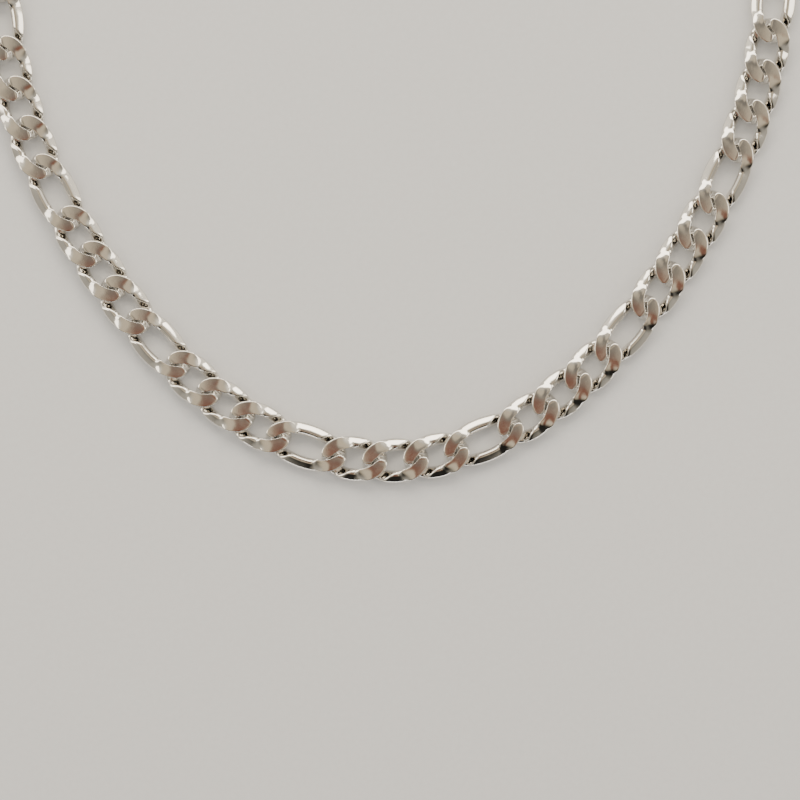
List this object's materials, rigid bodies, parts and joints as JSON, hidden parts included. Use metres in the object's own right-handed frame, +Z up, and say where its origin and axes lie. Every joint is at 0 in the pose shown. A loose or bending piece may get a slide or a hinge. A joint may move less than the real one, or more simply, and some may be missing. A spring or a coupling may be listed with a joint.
{
  "type": "chain necklace",
  "caption": "Polished curb chain necklace of short and long twisted oval links, with a lobster clasp and end rings.",
  "frame": {"origin": "under the centre of the front link, on the plane that the chain rests on", "axes": "+Z up from the resting plane, +Y from the front link towards the neck, +X towards the right arm"},
  "size_m": [0.1645, 0.2022, 0.0046],
  "materials": {
    "steel": "polished",
    "ring_steel": "polished",
    "clasp_steel": "polished",
    "spring_steel": "satin"
  },
  "bodies": {
    "front_link": {"front_link": "steel"},
    "left_link_01": {"left_link_01": "steel"},
    "left_link_02": {"left_link_02": "steel"},
    "left_link_03": {"left_link_03": "steel"},
    "left_link_04": {"left_link_04": "steel"},
    "left_link_05": {"left_link_05": "steel"},
    "left_link_06": {"left_link_06": "steel"},
    "left_link_07": {"left_link_07": "steel"},
    "left_link_08": {"left_link_08": "steel"},
    "left_link_09": {"left_link_09": "steel"},
    "left_link_10": {"left_link_10": "steel"},
    "left_link_11": {"left_link_11": "steel"},
    "left_link_12": {"left_link_12": "steel"},
    "left_link_13": {"left_link_13": "steel"},
    "left_link_14": {"left_link_14": "steel"},
    "left_link_15": {"left_link_15": "steel"},
    "left_link_16": {"left_link_16": "steel"},
    "left_link_17": {"left_link_17": "steel"},
    "left_link_18": {"left_link_18": "steel"},
    "left_link_19": {"left_link_19": "steel"},
    "left_link_20": {"left_link_20": "steel"},
    "left_link_21": {"left_link_21": "steel"},
    "left_link_22": {"left_link_22": "steel"},
    "left_link_23": {"left_link_23": "steel"},
    "left_link_24": {"left_link_24": "steel"},
    "left_link_25": {"left_link_25": "steel"},
    "right_link_01": {"right_link_01": "steel"},
    "right_link_02": {"right_link_02": "steel"},
    "right_link_03": {"right_link_03": "steel"},
    "right_link_04": {"right_link_04": "steel"},
    "right_link_05": {"right_link_05": "steel"},
    "right_link_06": {"right_link_06": "steel"},
    "right_link_07": {"right_link_07": "steel"},
    "right_link_08": {"right_link_08": "steel"},
    "right_link_09": {"right_link_09": "steel"},
    "right_link_10": {"right_link_10": "steel"},
    "right_link_11": {"right_link_11": "steel"},
    "right_link_12": {"right_link_12": "steel"},
    "right_link_13": {"right_link_13": "steel"},
    "right_link_14": {"right_link_14": "steel"},
    "right_link_15": {"right_link_15": "steel"},
    "right_link_16": {"right_link_16": "steel"},
    "right_link_17": {"right_link_17": "steel"},
    "right_link_18": {"right_link_18": "steel"},
    "right_link_19": {"right_link_19": "steel"},
    "right_link_20": {"right_link_20": "steel"},
    "right_link_21": {"right_link_21": "steel"},
    "right_link_22": {"right_link_22": "steel"},
    "right_link_23": {"right_link_23": "steel"},
    "right_link_24": {"right_link_24": "steel"},
    "right_link_25": {"right_link_25": "steel"},
    "jump_ring": {"jump_ring": "ring_steel"},
    "clasp": {"clasp_body": "clasp_steel", "clasp_pin": "spring_steel", "clasp_spring": "spring_steel"},
    "clasp_lever": {"clasp_lever": "clasp_steel"},
    "end_ring": {"end_ring": "ring_steel"}
  },
  "joints": [
    {"name": "clasp_gate", "type": "hinge", "parent": "clasp", "child": "clasp_lever", "pos_m": [-0.0359, 0.18982, 0.0023], "axis": [0, 0, -1], "range_deg": [0, 25], "stiffness_Nm_per_rad": 0.002},
    {"name": "clasp_swing", "type": "hinge", "parent": "jump_ring", "child": "clasp", "pos_m": [-0.03861, 0.18449, 0.0023], "axis": [0, 0, 1], "range_deg": [-25, 25]},
    {"name": "jump_ring_swing", "type": "hinge", "parent": "left_link_25", "child": "jump_ring", "pos_m": [-0.04252, 0.18091, 0.00155], "axis": [0, 0, 1], "range_deg": [-12, 12]},
    {"name": "end_ring_swing", "type": "hinge", "parent": "right_link_25", "child": "end_ring", "pos_m": [0.0362, 0.18312, 0.00155], "axis": [0, 0, 1], "range_deg": [-15, 15]},
    {"name": "right_hinge_01", "type": "hinge", "parent": "front_link", "child": "right_link_01", "pos_m": [0.00412, 0.00015, 0.00155], "axis": [0, 0, 1], "range_deg": [-27.7, 8.3]},
    {"name": "left_hinge_01", "type": "hinge", "parent": "front_link", "child": "left_link_01", "pos_m": [-0.00412, -0.00015, 0.00155], "axis": [0, 0, -1], "range_deg": [-27.8, 8.2]},
    {"name": "right_hinge_02", "type": "hinge", "parent": "right_link_01", "child": "right_link_02", "pos_m": [0.0122, 0.00185, 0.00155], "axis": [0.2965, -0.955, 0], "range_deg": [-15, 15]},
    {"name": "left_hinge_02", "type": "hinge", "parent": "left_link_01", "child": "left_link_02", "pos_m": [-0.0123, 0.00094, 0.00155], "axis": [0.2298, 0.9732, 0], "range_deg": [-15, 15]},
    {"name": "right_hinge_03", "type": "hinge", "parent": "right_link_02", "child": "right_link_03", "pos_m": [0.02304, 0.00637, 0.00155], "axis": [0, 0, -1], "range_deg": [-8.6, 27.4]},
    {"name": "left_hinge_03", "type": "hinge", "parent": "left_link_02", "child": "left_link_03", "pos_m": [-0.02341, 0.00475, 0.00155], "axis": [0, 0, 1], "range_deg": [-8.1, 27.9]},
    {"name": "right_hinge_04", "type": "hinge", "parent": "right_link_03", "child": "right_link_04", "pos_m": [0.03003, 0.01075, 0.00155], "axis": [-0.5781, 0.816, 0], "range_deg": [-15, 15]},
    {"name": "left_hinge_04", "type": "hinge", "parent": "left_link_03", "child": "left_link_04", "pos_m": [-0.03064, 0.00874, 0.00155], "axis": [-0.5352, -0.8447, 0], "range_deg": [-15, 15]},
    {"name": "right_hinge_05", "type": "hinge", "parent": "right_link_04", "child": "right_link_05", "pos_m": [0.03648, 0.0159, 0.00155], "axis": [0, 0, 1], "range_deg": [-23.5, 12.5]},
    {"name": "left_hinge_05", "type": "hinge", "parent": "left_link_04", "child": "left_link_05", "pos_m": [-0.03733, 0.01357, 0.00155], "axis": [0, 0, -1], "range_deg": [-24, 12]},
    {"name": "right_hinge_06", "type": "hinge", "parent": "right_link_05", "child": "right_link_06", "pos_m": [0.0424, 0.02164, 0.00155], "axis": [0.7301, -0.6833, 0], "range_deg": [-15, 15]},
    {"name": "left_hinge_06", "type": "hinge", "parent": "left_link_05", "child": "left_link_06", "pos_m": [-0.04347, 0.01907, 0.00155], "axis": [0.7048, 0.7094, 0], "range_deg": [-15, 15]},
    {"name": "right_hinge_07", "type": "hinge", "parent": "right_link_06", "child": "right_link_07", "pos_m": [0.05001, 0.0306, 0.00155], "axis": [0, 0, -1], "range_deg": [-13.5, 22.5]},
    {"name": "left_hinge_07", "type": "hinge", "parent": "left_link_06", "child": "left_link_07", "pos_m": [-0.05137, 0.02778, 0.00155], "axis": [0, 0, 1], "range_deg": [-13.1, 22.9]},
    {"name": "right_hinge_08", "type": "hinge", "parent": "right_link_07", "child": "right_link_08", "pos_m": [0.05483, 0.03729, 0.00155], "axis": [-0.8266, 0.5627, 0], "range_deg": [-15, 15]},
    {"name": "left_hinge_08", "type": "hinge", "parent": "left_link_07", "child": "left_link_08", "pos_m": [-0.05637, 0.03434, 0.00155], "axis": [-0.8125, -0.5829, 0], "range_deg": [-15, 15]},
    {"name": "right_hinge_09", "type": "hinge", "parent": "right_link_08", "child": "right_link_09", "pos_m": [0.05929, 0.04423, 0.00155], "axis": [0, 0, 1], "range_deg": [-20.7, 15.3]},
    {"name": "left_hinge_09", "type": "hinge", "parent": "left_link_08", "child": "left_link_09", "pos_m": [-0.06098, 0.04118, 0.00155], "axis": [0, 0, -1], "range_deg": [-20.8, 15.2]},
    {"name": "right_hinge_10", "type": "hinge", "parent": "right_link_09", "child": "right_link_10", "pos_m": [0.06342, 0.05138, 0.00155], "axis": [0.8857, -0.4642, 0], "range_deg": [-15, 15]},
    {"name": "left_hinge_10", "type": "hinge", "parent": "left_link_09", "child": "left_link_10", "pos_m": [-0.06525, 0.04824, 0.00155], "axis": [0.8729, 0.4879, 0], "range_deg": [-15, 15]},
    {"name": "right_hinge_11", "type": "hinge", "parent": "right_link_10", "child": "right_link_11", "pos_m": [0.06844, 0.062, 0.00155], "axis": [0, 0, -1], "range_deg": [-12.5, 23.5]},
    {"name": "left_hinge_11", "type": "hinge", "parent": "left_link_10", "child": "left_link_11", "pos_m": [-0.07063, 0.05868, 0.00155], "axis": [0, 0, 1], "range_deg": [-12.5, 23.5]},
    {"name": "right_hinge_12", "type": "hinge", "parent": "right_link_11", "child": "right_link_12", "pos_m": [0.07123, 0.06976, 0.00155], "axis": [-0.9536, 0.3011, 0], "range_deg": [-15, 15]},
    {"name": "left_hinge_12", "type": "hinge", "parent": "left_link_11", "child": "left_link_12", "pos_m": [-0.07369, 0.06634, 0.00155], "axis": [-0.9426, -0.3338, 0], "range_deg": [-15, 15]},
    {"name": "right_hinge_13", "type": "hinge", "parent": "right_link_12", "child": "right_link_13", "pos_m": [0.0734, 0.07772, 0.00155], "axis": [0, 0, 1], "range_deg": [-22.5, 13.5]},
    {"name": "left_hinge_13", "type": "hinge", "parent": "left_link_12", "child": "left_link_13", "pos_m": [-0.07613, 0.07422, 0.00155], "axis": [0, 0, -1], "range_deg": [-22.5, 13.5]},
    {"name": "right_hinge_14", "type": "hinge", "parent": "right_link_13", "child": "right_link_14", "pos_m": [0.07493, 0.08583, 0.00155], "axis": [0.9904, -0.1386, 0], "range_deg": [-15, 15]},
    {"name": "left_hinge_14", "type": "hinge", "parent": "left_link_13", "child": "left_link_14", "pos_m": [-0.07795, 0.08227, 0.00155], "axis": [0.985, 0.1727, 0], "range_deg": [-15, 15]},
    {"name": "right_hinge_15", "type": "hinge", "parent": "right_link_14", "child": "right_link_15", "pos_m": [0.076, 0.09753, 0.00155], "axis": [0, 0, -1], "range_deg": [-12.5, 23.5]},
    {"name": "left_hinge_15", "type": "hinge", "parent": "left_link_14", "child": "left_link_15", "pos_m": [-0.07942, 0.09393, 0.00155], "axis": [0, 0, 1], "range_deg": [-12.5, 23.5]},
    {"name": "right_hinge_16", "type": "hinge", "parent": "right_link_15", "child": "right_link_16", "pos_m": [0.07596, 0.10578, 0.00155], "axis": [-0.999, -0.0446, 0], "range_deg": [-15, 15]},
    {"name": "left_hinge_16", "type": "hinge", "parent": "left_link_15", "child": "left_link_16", "pos_m": [-0.07966, 0.10218, 0.00155], "axis": [-0.9999, 0.01, 0], "range_deg": [-15, 15]},
    {"name": "right_hinge_17", "type": "hinge", "parent": "right_link_16", "child": "right_link_17", "pos_m": [0.07527, 0.114, 0.00155], "axis": [0, 0, 1], "range_deg": [-22.5, 13.5]},
    {"name": "left_hinge_17", "type": "hinge", "parent": "left_link_16", "child": "left_link_17", "pos_m": [-0.07925, 0.11041, 0.00155], "axis": [0, 0, -1], "range_deg": [-22.5, 13.5]},
    {"name": "right_hinge_18", "type": "hinge", "parent": "right_link_17", "child": "right_link_18", "pos_m": [0.07393, 0.12214, 0.00155], "axis": [0.9777, 0.2098, 0], "range_deg": [-15, 15]},
    {"name": "left_hinge_18", "type": "hinge", "parent": "left_link_17", "child": "left_link_18", "pos_m": [-0.07819, 0.1186, 0.00155], "axis": [0.9844, -0.1759, 0], "range_deg": [-15, 15]},
    {"name": "right_hinge_19", "type": "hinge", "parent": "right_link_18", "child": "right_link_19", "pos_m": [0.07091, 0.1335, 0.00155], "axis": [0, 0, -1], "range_deg": [-12.5, 23.5]},
    {"name": "left_hinge_19", "type": "hinge", "parent": "left_link_18", "child": "left_link_19", "pos_m": [-0.07557, 0.13005, 0.00155], "axis": [0, 0, 1], "range_deg": [-12.5, 23.5]},
    {"name": "right_hinge_20", "type": "hinge", "parent": "right_link_19", "child": "right_link_20", "pos_m": [0.06804, 0.14123, 0.00155], "axis": [-0.923, -0.3848, 0], "range_deg": [-15, 15]},
    {"name": "left_hinge_20", "type": "hinge", "parent": "left_link_19", "child": "left_link_20", "pos_m": [-0.07297, 0.13788, 0.00155], "axis": [-0.9358, 0.3526, 0], "range_deg": [-15, 15]},
    {"name": "right_hinge_21", "type": "hinge", "parent": "right_link_20", "child": "right_link_21", "pos_m": [0.06457, 0.14872, 0.00155], "axis": [0, 0, 1], "range_deg": [-22.5, 13.5]},
    {"name": "left_hinge_21", "type": "hinge", "parent": "left_link_20", "child": "left_link_21", "pos_m": [-0.06976, 0.14548, 0.00155], "axis": [0, 0, -1], "range_deg": [-22.5, 13.5]},
    {"name": "right_hinge_22", "type": "hinge", "parent": "right_link_21", "child": "right_link_22", "pos_m": [0.06051, 0.1559, 0.00155], "axis": [0.8463, 0.5327, 0], "range_deg": [-15, 15]},
    {"name": "left_hinge_22", "type": "hinge", "parent": "left_link_21", "child": "left_link_22", "pos_m": [-0.06596, 0.1528, 0.00155], "axis": [0.8642, -0.5031, 0], "range_deg": [-15, 15]},
    {"name": "right_hinge_23", "type": "hinge", "parent": "right_link_22", "child": "right_link_23", "pos_m": [0.05379, 0.16553, 0.00155], "axis": [0, 0, -1], "range_deg": [-12.5, 23.5]},
    {"name": "left_hinge_23", "type": "hinge", "parent": "left_link_22", "child": "left_link_23", "pos_m": [-0.05956, 0.16266, 0.00155], "axis": [0, 0, 1], "range_deg": [-12.5, 23.5]},
    {"name": "right_hinge_24", "type": "hinge", "parent": "right_link_23", "child": "right_link_24", "pos_m": [0.04843, 0.17181, 0.00155], "axis": [-0.7349, -0.6782, 0], "range_deg": [-15, 15]},
    {"name": "left_hinge_24", "type": "hinge", "parent": "left_link_23", "child": "left_link_24", "pos_m": [-0.05443, 0.16912, 0.00155], "axis": [-0.7579, 0.6524, 0], "range_deg": [-15, 15]},
    {"name": "right_hinge_25", "type": "hinge", "parent": "right_link_24", "child": "right_link_25", "pos_m": [0.0426, 0.17765, 0.00155], "axis": [0, 0, 1], "range_deg": [-22.5, 13.5]},
    {"name": "left_hinge_25", "type": "hinge", "parent": "left_link_24", "child": "left_link_25", "pos_m": [-0.04881, 0.17515, 0.00155], "axis": [0, 0, -1], "range_deg": [-22.5, 13.5]}
  ]
}
